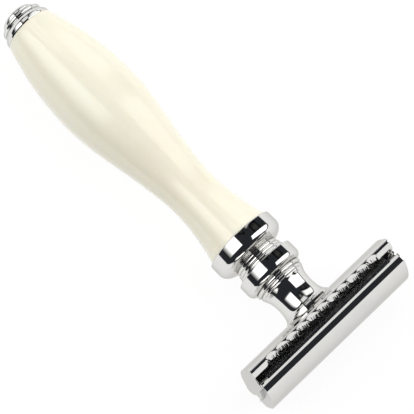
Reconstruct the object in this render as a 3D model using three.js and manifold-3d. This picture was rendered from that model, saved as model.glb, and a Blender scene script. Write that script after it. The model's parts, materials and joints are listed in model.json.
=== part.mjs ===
// A three-piece double-edge safety razor with a turned resin grip, lying at rest on a flat surface.
//
// Every piece is drawn in the razor's own frame: X runs along the handle's axis from the tip of the
// pommel to the cap, Y runs along the cutting edges, and Z runs across the head from edge to edge.
// The assembly is then tipped about Y, so that it rests on the belly of the grip and on one guard.
import * as THREE from "three";
import { mergeVertices } from "three/addons/utils/BufferGeometryUtils.js";
import Module from "manifold-3d";

const wasm = await Module();
wasm.setup();

// ---------------------------------------------------------------- driving dimensions, millimetres
const SEAM = 0.1; // gap left where two pieces butt or nest
const SIDES = 32; // sides of a turned piece
const HOLE_SIDES = 24; // sides of a bore, a pin or a rod

// Stations along the handle, measured from the tip of the pommel.
const POMMEL_SPLIT_X = 2.1; // cap of the pommel meets its ring
const GRIP_START_X = 5.4;
const GRIP_END_X = 74.6;
const BEADS_START_X = 79.8;
const BEADS_END_X = 82.5;
const NECK_START_X = 86.6;
const NECK_END_X = 96.3; // the handle's top face, under the base plate

// Pommel.
const DOME_LENGTH = 1.3;
const DOME_R = 4.4;

// Grip.
const GRIP_BELLY_X = 27.6;
const GRIP_BELLY_R = 9.95;
const GRIP_BORE_R = 2.6;
const FRONT_SPIGOT_R = 4.4; // centres the lower collar in the grip
const FRONT_SPIGOT_LENGTH = 3;
const REAR_SPIGOT_R = 3.4; // centres the pommel ring in the grip
const REAR_SPIGOT_LENGTH = 1.6;
const NEST_GAP = 0.3; // radial gap round a spigot

// Tie rod and thread.
const ROD_R = 2;
const ROD_HOLE_R = 2.3;
const ROD_START_X = 1;
const ROD_END_X = 88.2;
const STUD_R = 2.45; // M5 x 0.8
const STUD_HOLE_R = 2.7;
const STUD_ENGAGEMENT = 6.4; // length of stud inside the handle
const INSERT_R = 3.4;
const INSERT_START_X = 88.6;

// Collars, beads and neck.
const LOWER_COLLAR_R = 8.88;
const LOWER_SHOULDER_X = 77.3; // where the band ends and the shoulder starts
const UPPER_COLLAR_R = 7.55;
const UPPER_SHOULDER_X = 85;
const BEAD_HEIGHT = 0.3;
const BEAD_R = [5.85, 6.1, 6.35];
const NECK_WAIST_R = 5.03;
const NECK_FLARE_R = 6.3;

// Head.
const HEAD_LENGTH = 41.5; // along the cutting edges
const GUARD_X = 99.15; // station of the guards' noses
const GUARD_REACH = 12.75; // from the axis to a guard's nose
const PLATE_SAG = 2.89; // how far the base plate's underside bulges below the noses
const UNDERSIDE_REACH = 12.1; // half of the width that the underside's arc spans
const BOSS_R = 6.5;
const BOSS_CHAMFER = 0.15;
const CAP_REACH = 10.35; // from the axis to the cap's lip
const CAP_CROWN = 7.7; // crown of the cap above the noses
const CAP_SHOULDER = 5.42; // top of the cap's flank above the noses
const CAP_HOLLOW_REACH = 10.02; // half of the hollow that bends the blade
const LIP_BEVEL = 0.25;
const BLADE_CROWN = 4.5; // middle of the blade above the noses
const BLADE_BEND_R = 34;
const BLADE_THICKNESS = 0.1;
const BLADE_LENGTH = 43;
const BLADE_REACH = 10.82; // half of the bent blade's 22 mm
const BLADE_EDGE_LENGTH = 37;
const BLADE_TAB_WIDTH = 13.2;
const BLADE_SLOT_LENGTH = 33;
const BLADE_SLOT_WIDTH = 2.6;
const BLADE_CENTRE_HOLE_R = 3.2;
const BLADE_POST_HOLE_R = 2.2;
const SEAT_REACH = 8.2; // half of the seat that carries the blade
const POST_Y = 15.5;
const POST_R = 1.4;
const POST_HOLE_R = 1.7;
const POST_LENGTH = 6.5;
const SOCKET_DEPTH = 1.8; // how far the stud and the posts sink into the cap
const SCALLOPS = 11; // drain grooves in each guard
const SCALLOP_PITCH = 3.02;
const SCALLOP_R = 3;
const SCALLOP_LENGTH = 5;
const SCALLOP_HEIGHT = 3.26; // middle of a groove's axis above the noses
const SCALLOP_REACH = 13.32; // and its distance from the handle's axis
const SCALLOP_FALL = 0.634; // radians
const SCALLOP_SIDES = 48;

// ---------------------------------------------------------------- materials
const metal = (color, roughness) =>
  new THREE.MeshStandardMaterial({ color, roughness, metalness: 1 });
const chrome = metal(0xd9dadb, 0.06);
const steel = metal(0xb4b6b8, 0.25);
const brass = metal(0xb08d4a, 0.3);
const resin = new THREE.MeshStandardMaterial({ color: 0xf3ecd6, roughness: 0.18, metalness: 0 });

// ---------------------------------------------------------------- shape helpers
const razor = new THREE.Group();

function addPiece(name, geometry, material) {
  const piece = new THREE.Mesh(geometry, material);
  piece.name = name;
  razor.add(piece);
  return piece;
}

// Turns a profile of [x, radius] points about the X axis. The profile climbs along its outer wall.
function turn(profile, sides = SIDES) {
  const points = profile.map(([x, r]) => new THREE.Vector2(r, x));
  return new THREE.LatheGeometry(points, sides).rotateZ(-Math.PI / 2);
}

// A turned piece with a straight bore: its outer profile, then back down the bore.
function turnRing(outer, boreR, sides = SIDES) {
  const [startX] = outer[0];
  const [endX] = outer[outer.length - 1];
  return turn([[startX, boreR], ...outer, [endX, boreR], [startX, boreR]], sides);
}

// A plain round bar along X.
function rod(startX, endX, r) {
  return turn([[startX, 0], [startX, r], [endX, r], [endX, 0]], HOLE_SIDES);
}

// Extrudes an outline of [x, z] points along Y, centred on the axis.
function extrudeAlongY(outline, length) {
  const shape = new THREE.Shape(outline.map(([x, z]) => new THREE.Vector2(x, z)));
  return new THREE.ExtrudeGeometry(shape, { depth: length, bevelEnabled: false })
    .translate(0, 0, -length / 2)
    .rotateX(Math.PI / 2);
}

// Points of a quarter-ellipse shoulder from the top of a band down to a smaller radius.
function shoulder(startX, endX, topR, footR, steps = 5) {
  return Array.from({ length: steps + 1 }, (_, i) => {
    const angle = (i / steps) * (Math.PI / 2);
    return [
      startX + (endX - startX) * Math.sin(angle),
      footR + (topR - footR) * Math.cos(angle),
    ];
  });
}

// Points of a half-round bead between two stations.
function bead(startX, endX, footR, topR, steps = 4) {
  return Array.from({ length: steps + 1 }, (_, i) => {
    const angle = (i / steps) * Math.PI;
    return [
      (startX + endX) / 2 - ((endX - startX) / 2) * Math.cos(angle),
      footR + (topR - footR) * Math.sin(angle),
    ];
  });
}

// Points of a smooth curve through [x, radius] points.
function smooth(points, steps) {
  const curve = new THREE.SplineCurve(points.map(([x, r]) => new THREE.Vector2(x, r)));
  return curve.getPoints(steps).map((p) => [p.x, p.y]);
}

// ---------------------------------------------------------------- booleans
function toSolid(geometry) {
  const bare = geometry.clone();
  bare.deleteAttribute("normal");
  bare.deleteAttribute("uv");
  const merged = mergeVertices(bare, 1e-4);
  return new wasm.Manifold(
    new wasm.Mesh({
      numProp: 3,
      vertProperties: new Float32Array(merged.attributes.position.array),
      triVerts: new Uint32Array(merged.index.array),
    }),
  );
}

function toGeometry(solid) {
  const mesh = solid.getMesh();
  const geometry = new THREE.BufferGeometry();
  geometry.setAttribute("position", new THREE.BufferAttribute(mesh.vertProperties, 3));
  geometry.setIndex(new THREE.BufferAttribute(mesh.triVerts, 1));
  geometry.computeVertexNormals();
  return geometry;
}

function cut(geometry, tools) {
  const solid = tools.reduce((rest, tool) => rest.subtract(toSolid(tool)), toSolid(geometry));
  return toGeometry(solid);
}

function join(a, b) {
  return toGeometry(toSolid(a).add(toSolid(b)));
}

// ---------------------------------------------------------------- handle
// The grip swells to a belly, narrows to a waist and opens again towards the collars.
function grip() {
  const outside = smooth(
    [
      [GRIP_START_X + SEAM, 6.2],
      [9, 7.38],
      [14.8, 8.72],
      [21, 9.55],
      [GRIP_BELLY_X, GRIP_BELLY_R],
      [34.2, 9.62],
      [42, 8.42],
      [50.2, 7.02],
      [58.6, 6.07],
      [65, 6.32],
      [70.5, 7.22],
      [GRIP_END_X - SEAM, 8.2],
    ],
    24,
  );
  const rearNestR = REAR_SPIGOT_R + NEST_GAP;
  const rearNestX = GRIP_START_X + REAR_SPIGOT_LENGTH + NEST_GAP;
  const frontNestR = FRONT_SPIGOT_R + NEST_GAP;
  const frontNestX = GRIP_END_X - FRONT_SPIGOT_LENGTH - NEST_GAP;
  const inside = [
    [GRIP_END_X - SEAM, frontNestR],
    [frontNestX, frontNestR],
    [frontNestX, GRIP_BORE_R],
    [rearNestX, GRIP_BORE_R],
    [rearNestX, rearNestR],
    [GRIP_START_X + SEAM, rearNestR],
  ];
  return turn([...outside, ...inside, outside[0]]);
}

// A domed button with a narrow rim, tapped from inside for the tie rod.
function pommelCap() {
  const rimX = POMMEL_SPLIT_X - SEAM;
  const steps = 7;
  const dome = Array.from({ length: steps + 1 }, (_, i) => {
    const angle = (i / steps) * (Math.PI / 2);
    return [DOME_LENGTH * (1 - Math.cos(angle)), DOME_R * Math.sin(angle)];
  });
  return turn([
    ...dome,
    [1.7, 4.55],
    [rimX, 4.35],
    [rimX, ROD_HOLE_R],
    [ROD_START_X - SEAM, ROD_HOLE_R],
    [ROD_START_X - SEAM, 0],
  ]);
}

// A stepped ring: a half-round bead, a groove and a wide rounded band against the grip.
function pommelRing() {
  const outside = [
    [POMMEL_SPLIT_X, 4.7],
    ...bead(2.2, 3.1, 4.9, 5.5),
    [3.25, 5.2],
    [3.6, 5.6],
    [4.2, 6.05],
    [4.8, 6.28],
    [GRIP_START_X, 6.2],
  ];
  const spigotX = GRIP_START_X + REAR_SPIGOT_LENGTH;
  return turnRing([...outside, [GRIP_START_X, REAR_SPIGOT_R], [spigotX, REAR_SPIGOT_R]], ROD_HOLE_R);
}

// A cylindrical band whose shoulder rolls down to the beads, with a spigot inside the grip.
function lowerCollar() {
  const spigotX = GRIP_END_X - FRONT_SPIGOT_LENGTH;
  return turnRing(
    [
      [spigotX, FRONT_SPIGOT_R],
      [GRIP_END_X, FRONT_SPIGOT_R],
      [GRIP_END_X, 8.5],
      [GRIP_END_X + 0.25, LOWER_COLLAR_R - 0.1],
      [GRIP_END_X + 0.6, LOWER_COLLAR_R],
      ...shoulder(LOWER_SHOULDER_X, BEADS_START_X - SEAM, LOWER_COLLAR_R, 5.6),
    ],
    ROD_HOLE_R,
  );
}

function beadRing(index) {
  const width = (BEADS_END_X - BEADS_START_X) / BEAD_R.length;
  const startX = BEADS_START_X + index * width;
  const footR = BEAD_R[index] - BEAD_HEIGHT;
  return turnRing(bead(startX, startX + width - SEAM, footR, BEAD_R[index]), ROD_HOLE_R);
}

// The same form as the lower collar, one size down.
function upperCollar() {
  return turnRing(
    [
      [BEADS_END_X, 7.2],
      [BEADS_END_X + 0.25, UPPER_COLLAR_R - 0.08],
      [BEADS_END_X + 0.6, UPPER_COLLAR_R],
      ...shoulder(UPPER_SHOULDER_X, NECK_START_X - SEAM, UPPER_COLLAR_R, 6.15),
    ],
    ROD_HOLE_R,
  );
}

// Two fine beads, a concave waist and a flare that carries the head. The rod screws into its lower
// end, and the threaded insert is pressed into its upper end.
function neck() {
  const insertSeatX = INSERT_START_X - SEAM;
  const insertSeatR = INSERT_R + SEAM;
  const outside = [
    ...bead(NECK_START_X, 87.5, 5.9, 6.3),
    ...bead(87.6, 88.5, 5.7, 5.95),
    ...smooth(
      [
        [88.7, 5.75],
        [90, 5.25],
        [92, NECK_WAIST_R],
        [94, 5.17],
        [95.3, 5.6],
        [96.05, NECK_FLARE_R],
      ],
      9,
    ),
    [NECK_END_X - SEAM, NECK_FLARE_R],
  ];
  const inside = [
    [NECK_END_X - SEAM, insertSeatR],
    [insertSeatX, insertSeatR],
    [insertSeatX, ROD_HOLE_R],
    [NECK_START_X, ROD_HOLE_R],
  ];
  return turn([...outside, ...inside, outside[0]]);
}

function threadInsert() {
  const endX = NECK_END_X - 2 * SEAM;
  return turnRing([[INSERT_START_X, INSERT_R], [endX, INSERT_R]], STUD_HOLE_R, HOLE_SIDES);
}

// ---------------------------------------------------------------- head
// Height of the bent blade's underside above the guards' noses, at a distance z from the axis.
const bladeHeight = (z) => BLADE_CROWN - (z * z) / (2 * BLADE_BEND_R);

// Points that follow the bent blade from one side to the other at a height offset, as [x, z].
function alongBlade(reach, offset) {
  const steps = 12;
  return Array.from({ length: steps + 1 }, (_, i) => {
    const z = -reach + (2 * reach * i) / steps;
    return [GUARD_X + bladeHeight(z) + offset, z];
  });
}

// Mirrors one half of a section, given from +Z inwards, on to the other side.
const mirrored = (half) => half.map(([x, z]) => [x, -z]).reverse();

// One guard in section, from its nose in to the foot of the blade's seat.
function guardSection() {
  return [
    [-0.45, 12.42],
    [-0.2, 12.68],
    [0.08, GUARD_REACH],
    [0.42, 12.66],
    [1.6, 11.15],
    [1.78, 10.3],
    [1.75, 9.5],
    [2, 8.75],
    [2.6, 8.32],
  ].map(([height, z]) => [GUARD_X + height, z]);
}

// The underside is one shallow arc between the two guards.
function undersideArc() {
  const reach = UNDERSIDE_REACH;
  const steps = 14;
  return Array.from({ length: steps + 1 }, (_, i) => {
    const z = reach - (2 * reach * i) / steps;
    return [GUARD_X - PLATE_SAG * (1 - (z / GUARD_REACH) ** 2), z];
  });
}

function acrossHead(x, y, r, length) {
  return rod(x, x + length, r).translate(0, y, 0);
}

// The shallow grooves that drain each guard, scooped side by side out of its sloping face.
function scallopTools() {
  const tools = [];
  for (const side of [-1, 1]) {
    for (let i = 0; i < SCALLOPS; i += 1) {
      const y = (i - (SCALLOPS - 1) / 2) * SCALLOP_PITCH;
      const groove = new THREE.CylinderGeometry(SCALLOP_R, SCALLOP_R, SCALLOP_LENGTH, SCALLOP_SIDES)
        .rotateX(Math.PI / 2)
        .rotateY(side * -SCALLOP_FALL)
        .translate(GUARD_X + SCALLOP_HEIGHT, y, side * SCALLOP_REACH);
      tools.push(groove);
    }
  }
  return tools;
}

// A crescent with a scalloped guard along each edge, a seat for the blade and a round boss below.
function basePlate() {
  const guard = guardSection();
  const outline = [
    ...undersideArc().reverse(),
    ...guard,
    ...alongBlade(SEAT_REACH, -SEAM).reverse(),
    ...mirrored(guard),
  ];
  const plate = extrudeAlongY(outline, HEAD_LENGTH);
  const boss = turn([
    [NECK_END_X, 0],
    [NECK_END_X, BOSS_R - BOSS_CHAMFER],
    [NECK_END_X + BOSS_CHAMFER, BOSS_R],
    [GUARD_X, BOSS_R],
    [GUARD_X, 0],
  ]);
  const belowX = NECK_END_X - 2;
  const through = GUARD_X + BLADE_CROWN + 2 - belowX;
  return cut(join(plate, boss), [
    acrossHead(belowX, 0, STUD_HOLE_R, through),
    acrossHead(belowX, POST_Y, POST_HOLE_R, through),
    acrossHead(belowX, -POST_Y, POST_HOLE_R, through),
    ...scallopTools(),
  ]);
}

// A razor blade sprung into a shallow arch, with notched corners and the usual slot.
function blade() {
  const section = [
    ...alongBlade(BLADE_REACH, 0),
    ...alongBlade(BLADE_REACH, BLADE_THICKNESS).reverse(),
  ];
  const tall = 8;
  const notchLength = (BLADE_LENGTH - BLADE_EDGE_LENGTH) / 2;
  const notchWidth = BLADE_REACH - BLADE_TAB_WIDTH / 2;
  const x = GUARD_X + BLADE_CROWN;
  const tools = [
    new THREE.BoxGeometry(tall, BLADE_SLOT_LENGTH, BLADE_SLOT_WIDTH).translate(x, 0, 0),
    acrossHead(x - tall / 2, 0, BLADE_CENTRE_HOLE_R, tall),
    acrossHead(x - tall / 2, POST_Y, BLADE_POST_HOLE_R, tall),
    acrossHead(x - tall / 2, -POST_Y, BLADE_POST_HOLE_R, tall),
  ];
  for (const end of [-1, 1]) {
    for (const side of [-1, 1]) {
      tools.push(
        new THREE.BoxGeometry(tall, 2 * notchLength, 2 * notchWidth).translate(
          x,
          (end * BLADE_LENGTH) / 2,
          side * BLADE_REACH,
        ),
      );
    }
  }
  return cut(extrudeAlongY(section, BLADE_LENGTH), tools);
}

// A shallow dome with an upright flank and a bevelled lip, hollowed to the bend of the blade.
function topCap() {
  const lip = [
    [4.05, CAP_REACH],
    [5.2, CAP_REACH - 0.05],
    [CAP_SHOULDER, CAP_REACH - LIP_BEVEL],
  ].map(([height, z]) => [GUARD_X + height, z]);
  const domeReach = CAP_REACH - LIP_BEVEL;
  const steps = 16;
  const dome = Array.from({ length: steps - 1 }, (_, i) => {
    const z = domeReach - (2 * domeReach * (i + 1)) / steps;
    const rise = (CAP_CROWN - CAP_SHOULDER) * (1 - (z / domeReach) ** 2);
    return [GUARD_X + CAP_SHOULDER + rise, z];
  });
  const underside = alongBlade(CAP_HOLLOW_REACH, BLADE_THICKNESS + SEAM);
  const outline = [...underside, ...lip, ...dome, ...mirrored(lip)];
  const clear = 2;
  const floorX = GUARD_X + BLADE_CROWN - clear;
  const depth = clear + BLADE_THICKNESS + SEAM + SOCKET_DEPTH;
  return cut(extrudeAlongY(outline, HEAD_LENGTH), [
    acrossHead(floorX, 0, STUD_R + SEAM, depth),
    acrossHead(floorX, POST_Y, POST_R + SEAM, depth),
    acrossHead(floorX, -POST_Y, POST_R + SEAM, depth),
  ]);
}

// ---------------------------------------------------------------- assembly
const socketTopX = GUARD_X + BLADE_CROWN + BLADE_THICKNESS + SOCKET_DEPTH;
const postEndX = GUARD_X + BLADE_CROWN - POST_LENGTH;

addPiece("top_cap", topCap(), chrome);
addPiece("threaded_stud", rod(NECK_END_X - STUD_ENGAGEMENT, socketTopX, STUD_R), steel);
for (const [name, side] of [["post_left", -1], ["post_right", 1]]) {
  const post = addPiece(name, rod(postEndX, socketTopX, POST_R), chrome);
  post.position.y = side * POST_Y;
}
addPiece("blade", blade(), steel);
addPiece("base_plate", basePlate(), chrome);

addPiece("neck", neck(), chrome);
addPiece("thread_insert", threadInsert(), brass);
addPiece("upper_collar", upperCollar(), chrome);
BEAD_R.forEach((_, index) => addPiece(`bead_ring_${index + 1}`, beadRing(index), chrome));
addPiece("lower_collar", lowerCollar(), chrome);
addPiece("grip", grip(), resin);
addPiece("tie_rod", rod(ROD_START_X, ROD_END_X, ROD_R), steel);
addPiece("pommel_ring", pommelRing(), chrome);
addPiece("pommel_cap", pommelCap(), chrome);

// At rest the grip's belly and the lower guard both touch the surface, which lifts the head.
const restTilt = Math.atan2(GUARD_REACH - GRIP_BELLY_R, GUARD_X - GRIP_BELLY_X);
razor.rotation.y = -restTilt;

// The origin is the middle of the bounding box's underside.
const box = new THREE.Box3().setFromObject(razor, true);
const middle = box.getCenter(new THREE.Vector3());
razor.position.set(-middle.x, -middle.y, -box.min.z);

const group = new THREE.Group();
group.add(razor);

export default group;
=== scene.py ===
import json
import math

import bmesh
import bpy
import numpy as np
from mathutils import Matrix, Vector

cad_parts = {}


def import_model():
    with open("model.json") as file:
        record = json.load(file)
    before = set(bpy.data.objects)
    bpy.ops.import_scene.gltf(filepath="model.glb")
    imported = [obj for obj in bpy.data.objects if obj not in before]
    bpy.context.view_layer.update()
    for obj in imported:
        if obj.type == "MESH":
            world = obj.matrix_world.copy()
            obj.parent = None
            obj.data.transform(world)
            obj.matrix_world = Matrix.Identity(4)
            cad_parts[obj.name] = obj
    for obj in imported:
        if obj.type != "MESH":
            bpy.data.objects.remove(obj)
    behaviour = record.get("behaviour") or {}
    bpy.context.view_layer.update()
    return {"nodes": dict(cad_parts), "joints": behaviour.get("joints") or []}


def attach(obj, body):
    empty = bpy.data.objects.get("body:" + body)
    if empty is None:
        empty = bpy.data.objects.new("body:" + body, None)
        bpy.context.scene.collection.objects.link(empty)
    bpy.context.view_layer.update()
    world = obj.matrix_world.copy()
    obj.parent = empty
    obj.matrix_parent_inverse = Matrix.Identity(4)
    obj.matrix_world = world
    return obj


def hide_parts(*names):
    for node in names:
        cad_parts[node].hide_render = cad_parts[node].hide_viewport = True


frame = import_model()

# ---------------------------------------------------------------- sizes, millimetres
# Stations run along the handle's axis from the tip of the pommel, as in the CAD model. Heights
# on the head are measured from the guards' noses towards the cap.
MM = 0.001
SEGMENTS = 144
BAR_PHASE = 0.37  # share of a facet by which a cutting bar is turned
SEAM = 0.03  # visible joint between two turned pieces

# Handle.
GRIP_START_X = 5.4
GRIP_END_X = 74.6
GRIP_BORE_R = 2.6
GRIP_SEAM = 0.02
BEADS_START_X = 79.8
BEADS_END_X = 82.5
NECK_START_X = 86.6
NECK_END_X = 96.3
FRONT_SPIGOT_R = 4.4  # centres the lower collar in the grip
FRONT_SPIGOT_LENGTH = 3
REAR_SPIGOT_R = 3.4  # centres the pommel ring in the grip
REAR_SPIGOT_LENGTH = 1.6
NEST_GAP = 0.3  # round a spigot
ROD_HOLE_R = 2.3
INSERT_R = 3.4
INSERT_START_X = 88.6
INSERT_GAP = 0.1

# Pommel, collars and beads.
DOME_LENGTH = 1.35
DOME_R = 4.25
DOME_END_X = 2.08
LOWER_COLLAR_R = 8.88
LOWER_FOOT_R = 5.5
LOWER_SHOULDER_X = 77.3
UPPER_COLLAR_R = 7.55
UPPER_FOOT_R = 6.1
UPPER_SHOULDER_X = 85
BEAD_R = 5.85, 6.1, 6.35
BEAD_HEIGHT = 0.17
NECK_FLARE_R = 6.3

# Stud, posts and the holes that they pass through.
STUD_R = 2.45
STUD_HOLE_R = 2.7
STUD_ENGAGEMENT = 6.4  # length of stud inside the handle
THREAD_PITCH = 0.8
THREAD_DEPTH = 0.42
POST_R = 1.4
POST_HOLE_R = 1.7
POST_Y = 15.5
POST_LENGTH = 6.5
PIN_REACH = 1.8  # how far stud and posts go into the cap
SOCKET_DEPTH = 1.9
SOCKET_GAP = 0.05

# Head.
HEAD_LENGTH = 41.5
GUARD_X = 99.15
GUARD_REACH = 12.75
PLATE_SAG = 2.89
UNDERSIDE_REACH = 11.2
BOSS_R = 6.5
BOSS_CHAMFER = 0.15
SEAT_REACH = 8.2
SEAT_INNER_REACH = 7.2
SEAT_GAP = 0.06  # between seat and blade
CAP_REACH = 10.35
CAP_CROWN = 7.7
CAP_SHOULDER = 5.42
CAP_HOLLOW_REACH = 10.02
CAP_GAP = 0.03  # between blade and cap
LIP_HEIGHT = 4.05
LIP_BEVEL = 0.25

# Drain scallops in the guards' sloping faces.
SCALLOPS = 11
SCALLOP_PITCH = 3.02
SCALLOP_R = 3
SCALLOP_LENGTH = 5
SCALLOP_HEIGHT = 3.26
SCALLOP_REACH = 13.32
SCALLOP_FALL = 0.634

# Blade.
BLADE_CROWN = 4.5
BLADE_BEND_R = 34
BLADE_THICKNESS = 0.1
BLADE_LENGTH = 43
BLADE_REACH = 10.82
BLADE_EDGE_LENGTH = 37
BLADE_TAB_WIDTH = 13.2
BLADE_SLOT_LENGTH = 33
BLADE_SLOT_WIDTH = 2.6
BLADE_CENTRE_HOLE_R = 3.2
BLADE_POST_HOLE_R = 2.2
HONED_WIDTH = 1.0
EDGE_THINNING = 0.9  # share of the thickness that the honed edge loses


# ---------------------------------------------------------------- the razor's own frame
def razor_frame():
    """X along the handle towards the cap, Y along the edges, Z across the head. The origin is the
    pommel's tip."""
    screw = next(j for j in frame["joints"] if j["name"] == "handle_unscrew")
    along = -Vector(screw["axis"]).normalized()
    edgewise = Vector((0, 1, 0))
    across = along.cross(edgewise)
    origin = Vector(screw["pos_m"]) - along * NECK_END_X * MM
    matrix = Matrix((along, edgewise, across)).transposed().to_4x4()
    matrix.translation = origin
    return matrix


RAZOR = razor_frame()


# ---------------------------------------------------------------- camera
AIM_X = 64.1
CAMERA_DISTANCE = 0.426
CAMERA_AZIMUTH = 43.9
CAMERA_ELEVATION = 76.9
CAMERA_ROLL = 2.25
LENS = 165.2


def make_camera():
    azimuth, elevation = math.radians(CAMERA_AZIMUTH), math.radians(CAMERA_ELEVATION)
    back = Vector((
        math.sin(azimuth) * math.cos(elevation),
        -math.cos(azimuth) * math.cos(elevation),
        math.sin(elevation),
    ))
    data = bpy.data.cameras.new("camera")
    data.lens = LENS
    data.sensor_width = 36
    data.clip_start = 0.01
    data.clip_end = 20
    camera = bpy.data.objects.new("camera", data)
    bpy.context.scene.collection.objects.link(camera)
    camera.location = RAZOR @ Vector((AIM_X * MM, 0, 0)) + back * CAMERA_DISTANCE
    roll = Matrix.Rotation(math.radians(CAMERA_ROLL), 4, "Z")
    turn = (-back).to_track_quat("-Z", "Y").to_matrix().to_4x4() @ roll
    camera.rotation_mode = "QUATERNION"
    camera.rotation_quaternion = turn.to_quaternion()
    bpy.context.scene.camera = camera


# ---------------------------------------------------------------- outlines
def rounded(corners, closed=False, steps=5):
    """Outline through corners (x, y) or (x, y, fillet): a corner with a fillet becomes an arc."""
    count = len(corners)
    points = []
    for i, (x, y, *fillet) in enumerate(corners):
        here = np.array((x, y), float)
        if not fillet or (not closed and i in (0, count - 1)):
            points.append(here)
            continue
        before = np.array(corners[i - 1][:2], float) - here
        after = np.array(corners[(i + 1) % count][:2], float) - here
        reach = min(np.linalg.norm(before), np.linalg.norm(after))
        u, v = before / np.linalg.norm(before), after / np.linalg.norm(after)
        half = math.acos(np.clip(u @ v, -1, 1)) / 2
        if half > math.radians(88):
            points.append(here)
            continue
        tangent = min(fillet[0] / math.tan(half), 0.49 * reach)
        radius = tangent * math.tan(half)
        centre = here + (u + v) / np.linalg.norm(u + v) * radius / math.sin(half)
        start = math.atan2(*(here + u * tangent - centre)[::-1])
        end = math.atan2(*(here + v * tangent - centre)[::-1])
        sweep = (end - start + math.pi) % (2 * math.pi) - math.pi
        for k in range(steps + 1):
            angle = start + sweep * k / steps
            points.append(centre + radius * np.array((math.cos(angle), math.sin(angle))))
    return points


def smooth(points, steps):
    """A Catmull-Rom curve through the points, with that many steps between neighbours."""
    p = [np.array(q, float) for q in points]
    p = [2 * p[0] - p[1], *p, 2 * p[-1] - p[-2]]
    out = []
    for a, b, c, d in zip(p, p[1:], p[2:], p[3:]):
        for k in range(steps):
            t = k / steps
            out.append(0.5 * (2 * b + (c - a) * t + (2 * a - 5 * b + 4 * c - d) * t**2
                              + (3 * b - a - 3 * c + d) * t**3))
    out.append(p[-2])
    return out


def bead(start_x, end_x, foot_r, top_r, steps=12):
    """A circular arc that rises from the foot to the top and back between two stations."""
    middle, half, rise = (start_x + end_x) / 2, (end_x - start_x) / 2, top_r - foot_r
    radius = (half**2 + rise**2) / (2 * rise)
    sweep = math.asin(min(1, half / radius))
    angles = np.linspace(-sweep, sweep, steps + 1)
    return [(middle + radius * math.sin(a), top_r - radius * (1 - math.cos(a))) for a in angles]


# ---------------------------------------------------------------- meshes
def new_piece(name, verts, faces, body, nodes, material):
    """A closed mesh, given in razor millimetres, that rides on a body and stands for CAD nodes."""
    mesh = bpy.data.meshes.new(name)
    mesh.from_pydata([tuple(float(c) * MM for c in v) for v in verts], [], faces)
    bm = bmesh.new()
    bm.from_mesh(mesh)
    bmesh.ops.remove_doubles(bm, verts=bm.verts, dist=1e-8)
    bmesh.ops.recalc_face_normals(bm, faces=bm.faces)
    bm.to_mesh(mesh)
    bm.free()
    mesh.transform(RAZOR)
    piece = bpy.data.objects.new(name, mesh)
    bpy.context.scene.collection.objects.link(piece)
    mesh.materials.append(material)
    soften(piece)
    if body:
        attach(piece, body)
        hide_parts(*nodes)
    return piece


def soften(piece):
    """Smooth shading, with a sharp edge where two faces meet at more than 38 degrees."""
    piece.data.shade_smooth()
    piece.data.set_sharp_from_angle(angle=math.radians(38))


def keep_flats(piece):
    """Shades broad faces flat, so that only the eased edges between them turn the light."""
    modifier = piece.modifiers.new("keep_flats", "WEIGHTED_NORMAL")
    modifier.keep_sharp = True


def lathe_mesh(profile, segments=SEGMENTS, phase=0.0):
    """Turns a profile of (x, radius) about the axis. It closes on the axis, or on its own start."""
    verts, rings = [], []
    for x, r in profile:
        start = len(verts)
        if r < 1e-6:
            verts.append((x, 0, 0))
            rings.append([start] * segments)
            continue
        angles = (np.arange(segments) + phase) * 2 * math.pi / segments
        verts.extend((x, r * math.cos(a), r * math.sin(a)) for a in angles)
        rings.append(list(range(start, start + segments)))
    pairs = list(zip(rings, rings[1:]))
    if profile[0][1] > 1e-6:
        pairs.append((rings[-1], rings[0]))
    faces = []
    for low, high in pairs:
        for k in range(segments):
            after = (k + 1) % segments
            face = [low[k], low[after], high[after], high[k]]
            face = list(dict.fromkeys(face))
            if len(face) > 2:
                faces.append(face)
    return verts, faces


def turned(name, profile, body, material):
    verts, faces = lathe_mesh(profile)
    return new_piece("fine_" + name, verts, faces, body, [name], material)


def with_bore(outer, bore_r):
    """Closes an outer profile down a straight bore."""
    return [(outer[0][0], bore_r), *outer, (outer[-1][0], bore_r)]


def inset(section, amount):
    """Moves every point of a closed section inwards along its normal."""
    p = np.array(section)
    tangent = np.roll(p, -1, axis=0) - np.roll(p, 1, axis=0)
    normal = np.stack((tangent[:, 1], -tangent[:, 0]), axis=1)
    normal /= np.maximum(np.linalg.norm(normal, axis=1, keepdims=True), 1e-9)
    area = np.sum(p[:, 0] * np.roll(p[:, 1], -1) - np.roll(p[:, 0], -1) * p[:, 1])
    return p - normal * amount * np.sign(area)


def swept_mesh(section, stations, length, end_r=0.05):
    """Sweeps a closed section of (x, z) points along Y, with its two end edges eased."""
    steps = np.linspace(0, math.pi / 2, 4) if end_r else [math.pi / 2]
    rows = [(-length / 2 + end_r * (1 - math.cos(a)), end_r * (1 - math.sin(a))) for a in steps]
    ends = rows + [(y, 0) for y in stations] + [(-y, d) for y, d in reversed(rows)]
    verts, faces = [], []
    count = len(section)
    for y, depth in ends:
        points = inset(section, depth) if depth > 1e-9 else section
        verts.extend((x, y, z) for x, z in points)
    for row in range(len(ends) - 1):
        for k in range(count):
            after = (k + 1) % count
            a, b = row * count, (row + 1) * count
            faces.append([a + k, a + after, b + after, b + k])
    faces.append(list(range(count)))
    faces.append([(len(ends) - 1) * count + k for k in reversed(range(count))])
    return verts, faces


def cutter(verts, faces):
    """A tool for combine, which removes it again."""
    return new_piece("cutter", verts, faces, None, [], MATERIALS["chrome"])


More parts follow.
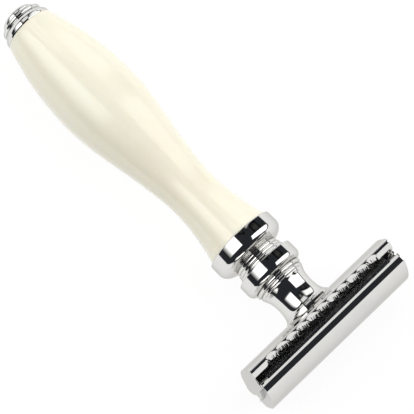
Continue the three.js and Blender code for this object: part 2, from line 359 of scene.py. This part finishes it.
def combine(piece, tool, operation):
    """Cuts or joins a tool by an exact boolean, and keeps the piece's own mesh."""
    modifier = piece.modifiers.new("combine", "BOOLEAN")
    modifier.object = tool
    modifier.operation = operation
    modifier.solver = "EXACT"
    bpy.context.view_layer.update()
    evaluated = piece.evaluated_get(bpy.context.evaluated_depsgraph_get())
    mesh = bpy.data.meshes.new_from_object(evaluated)
    piece.modifiers.remove(modifier)
    old = piece.data
    piece.data = mesh
    bpy.data.meshes.remove(old)
    bpy.data.objects.remove(tool)
    soften(piece)


def round_bar(start_x, end_x, r, y=0, segments=64):
    """A cutting bar, turned a little so that its corners miss those of the pieces it cuts."""
    outline = [(start_x, 0), (start_x, r), (end_x, r), (end_x, 0)]
    verts, faces = lathe_mesh(outline, segments, BAR_PHASE)
    return [(x, y + v, z) for x, v, z in verts], faces


def block(centre, size):
    verts = []
    for sx in (-1, 1):
        for sy in (-1, 1):
            for sz in (-1, 1):
                verts.append(tuple(c + s * d / 2 for c, s, d in zip(centre, (sx, sy, sz), size)))
    faces = [(0, 1, 3, 2), (4, 6, 7, 5), (0, 4, 5, 1), (2, 3, 7, 6), (0, 2, 6, 4), (1, 5, 7, 3)]
    return verts, faces


# ---------------------------------------------------------------- materials
class Shader:
    """A Principled material with helpers for its procedural detail. Lengths are in metres."""

    def __init__(self, name, **sockets):
        self.material = bpy.data.materials.new(name)
        self.material.use_nodes = True
        self.tree = self.material.node_tree
        self.main = self.tree.nodes["Principled BSDF"]
        for socket, value in sockets.items():
            self.main.inputs[socket.replace("_", " ")].default_value = value
        self.where = self.node("ShaderNodeTexCoord").outputs["Object"]

    def node(self, kind, **inputs):
        made = self.tree.nodes.new(kind)
        for name, value in inputs.items():
            self.feed(made.inputs[name.replace("_", " ")], value)
        return made

    def feed(self, socket, value):
        if isinstance(value, bpy.types.NodeSocket):
            self.tree.links.new(value, socket)
        else:
            socket.default_value = value

    def stretched(self, scale):
        mapping = self.node("ShaderNodeMapping", Vector=self.where)
        mapping.inputs["Scale"].default_value = scale
        return mapping.outputs["Vector"]

    def noise(self, size, detail=3, scale=(1, 1, 1)):
        """Noise whose features are about size across."""
        return self.node(
            "ShaderNodeTexNoise", Vector=self.stretched(scale), Scale=1 / size, Detail=detail
        ).outputs["Fac"]

    def spread(self, value, low, high, at=(0.3, 0.7)):
        made = self.node("ShaderNodeMapRange", Value=value)
        made.inputs["From Min"].default_value, made.inputs["From Max"].default_value = at
        made.inputs["To Min"].default_value, made.inputs["To Max"].default_value = low, high
        return made.outputs["Result"]

    def mixed(self, share, low, high):
        made = self.node("ShaderNodeMix")
        made.data_type = "RGBA"
        self.feed(made.inputs[0], share)
        self.feed(made.inputs[6], low)
        self.feed(made.inputs[7], high)
        return made.outputs[2]

    def edges(self):
        """1 on convex edges, 0 elsewhere. The chrome paints a highlight along them with a lighter base
        colour, and makes them a little rougher as wear.
        """
        pointed = self.node("ShaderNodeNewGeometry").outputs["Pointiness"]
        return self.spread(pointed, 0, 1, at=(0.52, 0.62))

    def add(self, a, b):
        made = self.node("ShaderNodeMath")
        made.operation = "ADD"
        self.feed(made.inputs[0], a)
        self.feed(made.inputs[1], b)
        return made.outputs[0]

    def bump(self, height, depth, strength=1.0):
        made = self.node("ShaderNodeBump", Height=height, Strength=strength, Distance=depth)
        self.feed(self.main.inputs["Normal"], made.outputs["Normal"])

    def set(self, socket, value):
        self.feed(self.main.inputs[socket], value)


def chrome_material():
    s = Shader("chrome", Metallic=1.0, Specular_Tint=(0.69, 0.685, 0.67, 1))
    cloud = s.noise(0.006)
    base = s.mixed(s.spread(cloud, 0, 1), (0.725, 0.72, 0.705, 1), (0.77, 0.765, 0.745, 1))
    # Convex edges get a lighter base colour: a painted highlight along the edges.
    s.set("Base Color", s.mixed(s.edges(), base, (0.81, 0.805, 0.785, 1)))
    smear = s.spread(s.noise(0.0015, 5), 0.025, 0.07)
    s.set("Roughness", s.add(smear, s.spread(s.edges(), 0, 0.05, at=(0, 1))))
    s.bump(s.noise(0.0012, 3), 0.000003, 0.12)
    return s.material


def resin_material():
    s = Shader(
        "ivory_resin",
        Coat_Weight=0.5,
        Coat_Roughness=0.04,
        Subsurface_Weight=0.15,
        Subsurface_Scale=0.002,
        Subsurface_Radius=(1.0, 0.8, 0.5),
    )
    swirl = s.noise(0.012, 4, scale=(0.35, 1, 1))
    fleck = s.noise(0.0012, 3)
    body = s.mixed(s.spread(swirl, 0, 1), (0.925, 0.875, 0.7, 1), (0.95, 0.915, 0.755, 1))
    s.set("Base Color", s.mixed(s.spread(fleck, 0, 0.25), body, (0.96, 0.93, 0.79, 1)))
    s.set("Roughness", s.spread(s.noise(0.002, 5), 0.16, 0.26))
    s.bump(s.noise(0.0025, 4), 0.00001, 0.3)
    return s.material


def steel_material(name, low, high, grain, roughness):
    """Machined or ground steel, with its grain drawn out along one direction."""
    s = Shader(name, Metallic=1.0)
    lines = s.noise(0.0002, 6, scale=grain)
    s.set("Base Color", s.mixed(s.spread(lines, 0, 1), low, high))
    s.set("Roughness", s.spread(lines, *roughness))
    s.bump(lines, 0.000005, 0.4)
    return s.material


def brass_material():
    s = Shader("brass", Metallic=1.0)
    lines = s.noise(0.0003, 5, scale=(3, 0.3, 0.3))
    s.set("Base Color", s.mixed(s.spread(lines, 0, 1), (0.58, 0.42, 0.17, 1), (0.74, 0.56, 0.26, 1)))
    s.set("Roughness", s.spread(lines, 0.22, 0.4))
    s.bump(lines, 0.000006, 0.4)
    return s.material


MATERIALS = {
    "chrome": chrome_material(),
    "ivory_resin": resin_material(),
    "blade_steel": steel_material(
        "blade_steel", (0.42, 0.43, 0.44, 1), (0.6, 0.61, 0.62, 1), (1, 0.04, 1), (0.16, 0.32)
    ),
    "stud_steel": steel_material(
        "stud_steel", (0.38, 0.39, 0.4, 1), (0.56, 0.57, 0.58, 1), (2, 0.2, 0.2), (0.2, 0.38)
    ),
    "brass": brass_material(),
}
CHROME = MATERIALS["chrome"]


# ---------------------------------------------------------------- handle
def grip():
    outside = smooth(
        [
            (GRIP_START_X + 0.35, 6.45), (9, 7.38), (14.8, 8.72), (21, 9.55), (27.6, 9.95),
            (34.2, 9.62), (42, 8.42), (50.2, 7.02), (58.6, 6.07), (65, 6.32), (70.5, 7.22),
            (GRIP_END_X - 0.25, 8.15),
        ],
        8,
    )
    start_x, end_x = GRIP_START_X + GRIP_SEAM, GRIP_END_X - GRIP_SEAM
    start = rounded([(start_x, 4), (start_x, 6.3, 0.2), outside[1]], steps=4)
    end = rounded([outside[-2], (end_x, 8.22, 0.15), (end_x, 5)], steps=4)
    front_x = GRIP_END_X - FRONT_SPIGOT_LENGTH - NEST_GAP
    front_r = FRONT_SPIGOT_R + NEST_GAP
    rear_x = GRIP_START_X + REAR_SPIGOT_LENGTH + NEST_GAP
    rear_r = REAR_SPIGOT_R + NEST_GAP
    inside = [
        (end_x, front_r), (front_x, front_r), (front_x, GRIP_BORE_R),
        (rear_x, GRIP_BORE_R), (rear_x, rear_r), (start_x, rear_r),
    ]
    profile = [*start[:-1], *outside[1:-1], *end[1:-1], *inside]
    turned("grip", profile, "handle", MATERIALS["ivory_resin"])


def pommel_cap():
    angles = np.linspace(0, math.pi / 2, 20)
    dome = [(DOME_LENGTH * (1 - math.cos(a)), DOME_R * math.sin(a)) for a in angles]
    rim = rounded([dome[-1], (1.45, 4.55, 0.15), (2.0, 4.6, 0.25), (DOME_END_X, 4.2)])
    socket_x = 0.9
    inside = [(DOME_END_X, ROD_HOLE_R), (socket_x, ROD_HOLE_R), (socket_x, 0)]
    turned("pommel_cap", [*dome[:-1], *rim, *inside], "handle", CHROME)


def pommel_ring():
    """A small bead, then a step that swells to the grip's diameter, with a spigot behind it."""
    face_x = GRIP_START_X - 0.01
    swell = rounded([
        (3.12, 4.95), (3.2, 5.0, 0.05), (3.45, 5.55, 0.3), (4.3, 6.15, 0.9), (5.1, 6.32, 0.3),
        (face_x, 6.2, 0.08), (face_x, REAR_SPIGOT_R),
    ])
    spigot_end = (GRIP_START_X + REAR_SPIGOT_LENGTH, REAR_SPIGOT_R)
    outer = [(2.1, 4.3), *bead(2.12, 3.1, 4.75, 5.5)[1:-1], *swell, spigot_end]
    turned("pommel_ring", with_bore(outer, ROD_HOLE_R), "handle", CHROME)


def collar_profile(start_x, end_x, band_r, foot_r, shoulder_x):
    """A band with eased edges, then a shoulder that rolls over to its foot."""
    angles = np.linspace(0, math.pi / 2, 24)
    roll = [
        (shoulder_x + (end_x - shoulder_x) * math.sin(a), foot_r + (band_r - foot_r) * math.cos(a))
        for a in angles
    ]
    band = rounded([(start_x, foot_r), (start_x, band_r - 0.02, 0.22), roll[0]], steps=6)
    return [*band[:-1], *roll]


def collars():
    lower = collar_profile(
        GRIP_END_X, BEADS_START_X - SEAM, LOWER_COLLAR_R, LOWER_FOOT_R, LOWER_SHOULDER_X
    )
    spigot_x = GRIP_END_X - FRONT_SPIGOT_LENGTH
    spigot = [(spigot_x, FRONT_SPIGOT_R), (GRIP_END_X, FRONT_SPIGOT_R)]
    turned("lower_collar", with_bore([*spigot, *lower], ROD_HOLE_R), "handle", CHROME)
    upper = collar_profile(
        BEADS_END_X, NECK_START_X - SEAM, UPPER_COLLAR_R, UPPER_FOOT_R, UPPER_SHOULDER_X
    )
    turned("upper_collar", with_bore(upper, ROD_HOLE_R), "handle", CHROME)


def bead_rings():
    width = (BEADS_END_X - BEADS_START_X) / len(BEAD_R)
    for i, top_r in enumerate(BEAD_R):
        start_x = BEADS_START_X + i * width
        outer = bead(start_x, start_x + width - SEAM, top_r - BEAD_HEIGHT, top_r)
        turned(f"bead_ring_{i + 1}", with_bore(outer, ROD_HOLE_R), "handle", CHROME)


def neck():
    """Two fine beads, then a waist that flares out to the head."""
    concave = smooth(
        [(88.75, 5.78), (90, 5.25), (92, 5.03), (94, 5.17), (95.3, 5.6), (96.05, 6.25)], 10
    )
    outer = [
        *bead(NECK_START_X, 87.6, 6.05, 6.32), *bead(87.63, 88.6, 5.75, 6.0), *concave,
        (NECK_END_X - 0.05, NECK_FLARE_R),
    ]
    seat_x, seat_r = INSERT_START_X - INSERT_GAP, INSERT_R + INSERT_GAP
    inside = [
        (NECK_END_X - 0.05, seat_r), (seat_x, seat_r), (seat_x, ROD_HOLE_R), (NECK_START_X, ROD_HOLE_R),
    ]
    turned("neck", [*outer, *inside], "handle", CHROME)


# ---------------------------------------------------------------- head
def blade_height(z):
    return BLADE_CROWN - z * z / (2 * BLADE_BEND_R)


def along_blade(reach, offset, steps=40):
    """Points that follow the bent blade across the head at a height offset."""
    return [(GUARD_X + blade_height(z) + offset, z) for z in np.linspace(-reach, reach, steps + 1)]


def plate_half():
    """One guard in section, from the underside's edge over the nose to the blade's seat."""
    corners = [
        (-1.05, UNDERSIDE_REACH), (-0.42, 12.45, 0.4), (-0.04, 12.8, 0.3), (0.52, 12.7, 0.2),
        (1.6, 11.15, 0.35), (1.78, 10.3, 0.6), (1.75, 9.5, 0.5), (2.0, 8.75, 0.4), (2.6, 8.32, 0.4),
        (blade_height(SEAT_REACH) - SEAT_GAP, SEAT_REACH, 0.12),
        (blade_height(SEAT_INNER_REACH) - SEAT_GAP, SEAT_INNER_REACH),
    ]
    points = rounded([(GUARD_X + h, z, *f) for h, z, *f in corners], steps=6)
    longest = 0.16
    dense = []
    for a, b in zip(points, points[1:]):
        pieces = max(1, int(np.linalg.norm(b - a) / longest))
        dense.extend(a + (b - a) * k / pieces for k in range(pieces))
    dense.append(points[-1])
    return dense[1:]


def plate_section():
    """The whole plate in section: its bulging underside, both guards and the blade's seat."""
    half = plate_half()
    zs = np.linspace(UNDERSIDE_REACH, -UNDERSIDE_REACH, 44)
    underside = [(GUARD_X - PLATE_SAG * (1 - (z / GUARD_REACH) ** 2), z) for z in zs]
    seat = along_blade(SEAT_INNER_REACH, -SEAT_GAP, 28)
    mirrored = [np.array((x, -z)) for x, z in reversed(half)]
    section = [*[np.array(p) for p in reversed(underside)], *half]
    section += [np.array(p) for p in reversed(seat)][1:-1]
    section += mirrored
    return np.array(section)


def scallop_cutter(first):
    """Every other drain groove of both guards, as one tool of leaning bars that don't touch."""
    verts, faces = [], []
    lean = math.sin(SCALLOP_FALL), math.cos(SCALLOP_FALL)
    for side in (-1, 1):
        for i in range(first, SCALLOPS, 2):
            y = (i - (SCALLOPS - 1) / 2) * SCALLOP_PITCH
            bar, bar_faces = round_bar(-SCALLOP_LENGTH / 2, SCALLOP_LENGTH / 2, SCALLOP_R, 0, 96)
            start = len(verts)
            for along, v, across in bar:
                x = GUARD_X + SCALLOP_HEIGHT - along * lean[0] + across * lean[1]
                z = SCALLOP_REACH + along * lean[1] + across * lean[0]
                verts.append((x, y + v, side * z))
            faces.extend([start + k for k in face] for face in bar_faces)
    return verts, faces


def base_plate():
    section = plate_section()
    stations = np.arange(-HEAD_LENGTH / 2 + 0.5, HEAD_LENGTH / 2 - 0.49, 0.75)
    verts, faces = swept_mesh(section, stations, HEAD_LENGTH)
    plate = new_piece("fine_base_plate", verts, faces, "base_plate", ["base_plate"], CHROME)
    boss = rounded([
        (NECK_END_X, 0), (NECK_END_X, BOSS_R, BOSS_CHAMFER), (GUARD_X, BOSS_R), (GUARD_X, 0)
    ])
    combine(plate, cutter(*lathe_mesh(boss)), "UNION")
    for y, r in ((0, STUD_HOLE_R), (POST_Y, POST_HOLE_R), (-POST_Y, POST_HOLE_R)):
        combine(plate, cutter(*round_bar(NECK_END_X - 2, NECK_END_X + 12, r, y)), "DIFFERENCE")
    for first in (0, 1):
        combine(plate, cutter(*scallop_cutter(first)), "DIFFERENCE")
    keep_flats(plate)


def blade():
    """The bent blade with honed edges, its slot, holes and end tabs."""
    top = along_blade(BLADE_REACH, BLADE_THICKNESS, 60)
    thinned = []
    for x, z in top:
        share = min(1, max(0, (BLADE_REACH - abs(z)) / HONED_WIDTH))
        thinned.append((x - BLADE_THICKNESS * EDGE_THINNING * (1 - share), z))
    section = np.array([*along_blade(BLADE_REACH, 0, 60), *reversed(thinned)])
    stations = np.linspace(-BLADE_LENGTH / 2 + 0.2, BLADE_LENGTH / 2 - 0.2, 40)
    verts, faces = swept_mesh(section, stations, BLADE_LENGTH, 0)
    piece = new_piece(
        "fine_blade", verts, faces, "blade", ["blade"], MATERIALS["blade_steel"]
    )
    middle = GUARD_X + BLADE_CROWN
    through = 8
    slot = (through, BLADE_SLOT_LENGTH, BLADE_SLOT_WIDTH)
    combine(piece, cutter(*block((middle, 0, 0), slot)), "DIFFERENCE")
    holes = (0, BLADE_CENTRE_HOLE_R), (POST_Y, BLADE_POST_HOLE_R), (-POST_Y, BLADE_POST_HOLE_R)
    for y, r in holes:
        bar = round_bar(middle - through / 2, middle + through / 2, r, y)
        combine(piece, cutter(*bar), "DIFFERENCE")
    notch = (through, BLADE_LENGTH - BLADE_EDGE_LENGTH, 2 * BLADE_REACH - BLADE_TAB_WIDTH)
    for end in (-1, 1):
        for side in (-1, 1):
            corner = (middle, end * BLADE_LENGTH / 2, side * BLADE_REACH)
            combine(piece, cutter(*block(corner, notch)), "DIFFERENCE")


def top_cap():
    """A shallow dome over a hollow that bends the blade, with a bevelled lip along each side."""
    reach = CAP_REACH - LIP_BEVEL
    lip = [(LIP_HEIGHT, CAP_REACH, 0.12), (5.3, CAP_REACH - 0.05, 0.16)]
    zs = np.linspace(reach - LIP_BEVEL, -reach + LIP_BEVEL, 40)
    dome = [(CAP_SHOULDER + (CAP_CROWN - CAP_SHOULDER) * (1 - (z / reach) ** 2), z) for z in zs]
    under = along_blade(CAP_HOLLOW_REACH - 0.2, BLADE_THICKNESS + CAP_GAP, 36)
    corner = blade_height(CAP_HOLLOW_REACH) + BLADE_THICKNESS + CAP_GAP
    edge = [(corner, CAP_HOLLOW_REACH, 0.07), *lip]
    rim = [(GUARD_X + h, z, *f) for h, z, *f in edge]
    far_rim = [(x, -z, *f) for x, z, *f in reversed(rim)]
    corners = [*under, *rim, *[(GUARD_X + h, z) for h, z in dome], *far_rim]
    section = np.array(rounded(corners, closed=True, steps=5))
    stations = np.linspace(-HEAD_LENGTH / 2 + 0.4, HEAD_LENGTH / 2 - 0.4, 60)
    verts, faces = swept_mesh(section, stations, HEAD_LENGTH)
    cap = new_piece("fine_top_cap", verts, faces, "head_cap", ["top_cap"], CHROME)
    floor_x = GUARD_X + BLADE_CROWN
    for y, r in ((0, STUD_R), (POST_Y, POST_R), (-POST_Y, POST_R)):
        socket_top_x = floor_x + BLADE_THICKNESS + SOCKET_DEPTH
        tool = cutter(*round_bar(floor_x - 2, socket_top_x, r + SOCKET_GAP, y))
        combine(cap, tool, "DIFFERENCE")
    keep_flats(cap)


def posts():
    top_x = GUARD_X + BLADE_CROWN + BLADE_THICKNESS + PIN_REACH
    low_x = GUARD_X + BLADE_CROWN - POST_LENGTH
    for name, side in (("post_left", -1), ("post_right", 1)):
        profile = rounded([(low_x, 0), (low_x, POST_R, 0.4), (top_x, POST_R, 0.1), (top_x, 0)])
        verts, faces = lathe_mesh(profile, 64)
        verts = [(x, y + side * POST_Y, z) for x, y, z in verts]
        new_piece("fine_" + name, verts, faces, "head_cap", [name], CHROME)


def stud():
    """An M5 x 0.8 stud with a real helical thread and chamfered ends."""
    low_x = NECK_END_X - STUD_ENGAGEMENT
    top_x = GUARD_X + BLADE_CROWN + BLADE_THICKNESS + PIN_REACH
    segments, rows_per_turn = 72, 14
    chamfer_length, chamfer_depth = 0.6, 0.5
    xs = np.linspace(low_x, top_x, int((top_x - low_x) / THREAD_PITCH * rows_per_turn))
    verts, faces = [(low_x, 0, 0)], []
    for x in xs:
        ease = min(1, (x - low_x) / chamfer_length, (top_x - x) / chamfer_length)
        for k in range(segments):
            angle = 2 * math.pi * k / segments
            phase = ((x - low_x) / THREAD_PITCH - k / segments) % 1
            valley = abs(2 * phase - 1)
            r = STUD_R - THREAD_DEPTH * min(1, max(0, 1.25 * valley - 0.12))
            r = min(r, STUD_R - chamfer_depth * (1 - ease))
            verts.append((x, r * math.cos(angle), r * math.sin(angle)))
    verts.append((top_x, 0, 0))
    for row in range(len(xs) - 1):
        for k in range(segments):
            after = (k + 1) % segments
            a, b = 1 + row * segments, 1 + (row + 1) * segments
            faces.append([a + k, a + after, b + after, b + k])
    for k in range(segments):
        after = (k + 1) % segments
        faces.append([0, 1 + after, 1 + k])
        last = 1 + (len(xs) - 1) * segments
        faces.append([len(verts) - 1, last + k, last + after])
    new_piece("fine_threaded_stud", verts, faces, "head_cap", ["threaded_stud"],
              MATERIALS["stud_steel"])


def dress_cad_nodes():
    """The hidden tie rod and thread insert keep their CAD shapes."""
    for node, slot in (("tie_rod", "stud_steel"), ("thread_insert", "brass")):
        mesh = frame["nodes"][node].data
        mesh.materials.clear()
        mesh.materials.append(MATERIALS[slot])


# ---------------------------------------------------------------- studio
def faded(tree, coordinate, start, end, soft):
    """1 between start and end along a coordinate, fading to 0 over the soft length inside each end."""
    level = None
    for edge, inwards in ((start, 1), (end, -1)):
        fade = tree.nodes.new("ShaderNodeMapRange")
        fade.interpolation_type = "SMOOTHSTEP"
        fade.inputs["From Min"].default_value = edge
        fade.inputs["From Max"].default_value = edge + inwards * soft[0 if inwards > 0 else 1]
        tree.links.new(coordinate, fade.inputs["Value"])
        level = fade.outputs[0] if level is None else multiplied(tree, level, fade.outputs[0])
    return level


def multiplied(tree, a, b):
    made = tree.nodes.new("ShaderNodeMath")
    made.operation = "MULTIPLY"
    for socket, value in zip(made.inputs, (a, b)):
        if isinstance(value, bpy.types.NodeSocket):
            tree.links.new(value, socket)
        else:
            socket.default_value = value
    return made.outputs[0]


def card(name, centre, size, strength, soft=((0.15, 0.15), (0.15, 0.15)), level_sides=False, fill=False):
    """A glowing card that faces the razor and fades towards its edges. Its own X is horizontal and
    its own Y points up. The camera doesn't see it, and a fill card isn't seen in reflections."""
    mesh = bpy.data.meshes.new(name)
    w, h = size[0] / 2, size[1] / 2
    mesh.from_pydata([(-w, -h, 0), (w, -h, 0), (w, h, 0), (-w, h, 0)], [], [(0, 1, 2, 3)])
    made = bpy.data.objects.new(name, mesh)
    bpy.context.scene.collection.objects.link(made)
    made.location = centre
    made.rotation_mode = "QUATERNION"
    facing = Vector((0, 0, 0.012)) - Vector(centre)
    if level_sides:
        facing.x = 0
    made.rotation_quaternion = facing.to_track_quat("Z", "Y")
    material = bpy.data.materials.new(name)
    material.use_nodes = True
    tree = material.node_tree
    tree.nodes.clear()
    coords = tree.nodes.new("ShaderNodeTexCoord")
    split = tree.nodes.new("ShaderNodeSeparateXYZ")
    tree.links.new(coords.outputs["Object"], split.inputs[0])
    across = faded(tree, split.outputs["X"], -w, w, soft[0])
    up = faded(tree, split.outputs["Y"], -h, h, soft[1])
    glow = tree.nodes.new("ShaderNodeEmission")
    tree.links.new(multiplied(tree, multiplied(tree, across, up), strength), glow.inputs["Strength"])
    out = tree.nodes.new("ShaderNodeOutputMaterial")
    tree.links.new(glow.outputs[0], out.inputs[0])
    mesh.materials.append(material)
    made.visible_camera = False
    made.visible_shadow = False
    made.visible_glossy = not fill


def direction(azimuth, elevation):
    """Unit vector at an azimuth from +X towards +Y and an elevation above the floor, in degrees."""
    a, e = math.radians(azimuth), math.radians(elevation)
    return Vector((math.cos(a) * math.cos(e), math.sin(a) * math.cos(e), math.sin(e)))


def studio():
    """A long softbox beside the grip, white cards on the far side with a dark gap between them, a
    card behind the pommel and a dim one above it, and an overhead fill that lights only the matt
    surfaces."""
    card(
        "softbox", Vector((-0.68, -0.535, 0.594)), (1.36, 0.88), 2.4,
        soft=((0.08, 0.3), (0.55, 0.06)), level_sides=True,
    )
    card(
        "right_card", Vector((0.34, 0.6, 0.47)), (0.84, 1.04), 1.7,
        soft=((0.03, 0.2), (0.1, 0.08)), level_sides=True,
    )
    card(
        "far_card", Vector((-0.53, 0.62, 0.44)), (0.6, 0.98), 1.3,
        soft=((0.2, 0.04), (0.1, 0.3)), level_sides=True,
    )
    card("end_card", direction(170, 40) * 0.8, (0.5, 0.55), 0.95)
    card("sky_card", Vector((-0.5, 0.15, 0.9)), (0.34, 0.5), 0.16)
    card("grey_card", Vector((-0.15, 0.6, 0.5)), (0.16, 0.4), 0.14, level_sides=True)
    card("overhead_fill", Vector((0, 0.3, 1)), (1.5, 1.5), 1.7, fill=True)


def floor():
    mesh = bpy.data.meshes.new("floor")
    reach = 4
    mesh.from_pydata(
        [(-reach, -reach, 0), (reach, -reach, 0), (reach, reach, 0), (-reach, reach, 0)], [], [(0, 1, 2, 3)]
    )
    made = bpy.data.objects.new("floor", mesh)
    bpy.context.scene.collection.objects.link(made)
    s = Shader("floor", Roughness=0.9, Emission_Color=(1, 1, 1, 1), Emission_Strength=0.9)
    s.main.inputs["Specular IOR Level"].default_value = 0.0
    s.set("Base Color", s.mixed(s.noise(0.2), (0.11, 0.11, 0.11, 1), (0.13, 0.13, 0.13, 1)))
    mesh.materials.append(s.material)


def world():
    """Dark surroundings for the metal to reflect, and a plain pale backdrop behind it."""
    made = bpy.data.worlds.new("studio")
    bpy.context.scene.world = made
    made.use_nodes = True
    tree = made.node_tree
    tree.nodes.clear()
    path = tree.nodes.new("ShaderNodeLightPath")
    dark = tree.nodes.new("ShaderNodeBackground")
    dark.inputs["Color"].default_value = (0.024, 0.026, 0.031, 1)
    pale = tree.nodes.new("ShaderNodeBackground")
    pale.inputs["Color"].default_value = (0.93, 0.93, 0.93, 1)
    mix = tree.nodes.new("ShaderNodeMixShader")
    out = tree.nodes.new("ShaderNodeOutputWorld")
    tree.links.new(path.outputs["Is Camera Ray"], mix.inputs[0])
    tree.links.new(dark.outputs[0], mix.inputs[1])
    tree.links.new(pale.outputs[0], mix.inputs[2])
    tree.links.new(mix.outputs[0], out.inputs[0])


# ---------------------------------------------------------------- build
make_camera()
grip()
pommel_cap()
pommel_ring()
collars()
bead_rings()
neck()
base_plate()
blade()
top_cap()
posts()
stud()
dress_cad_nodes()
studio()
floor()
world()
bpy.context.scene.view_settings.view_transform = "Standard"
bpy.context.scene.view_settings.look = "None"
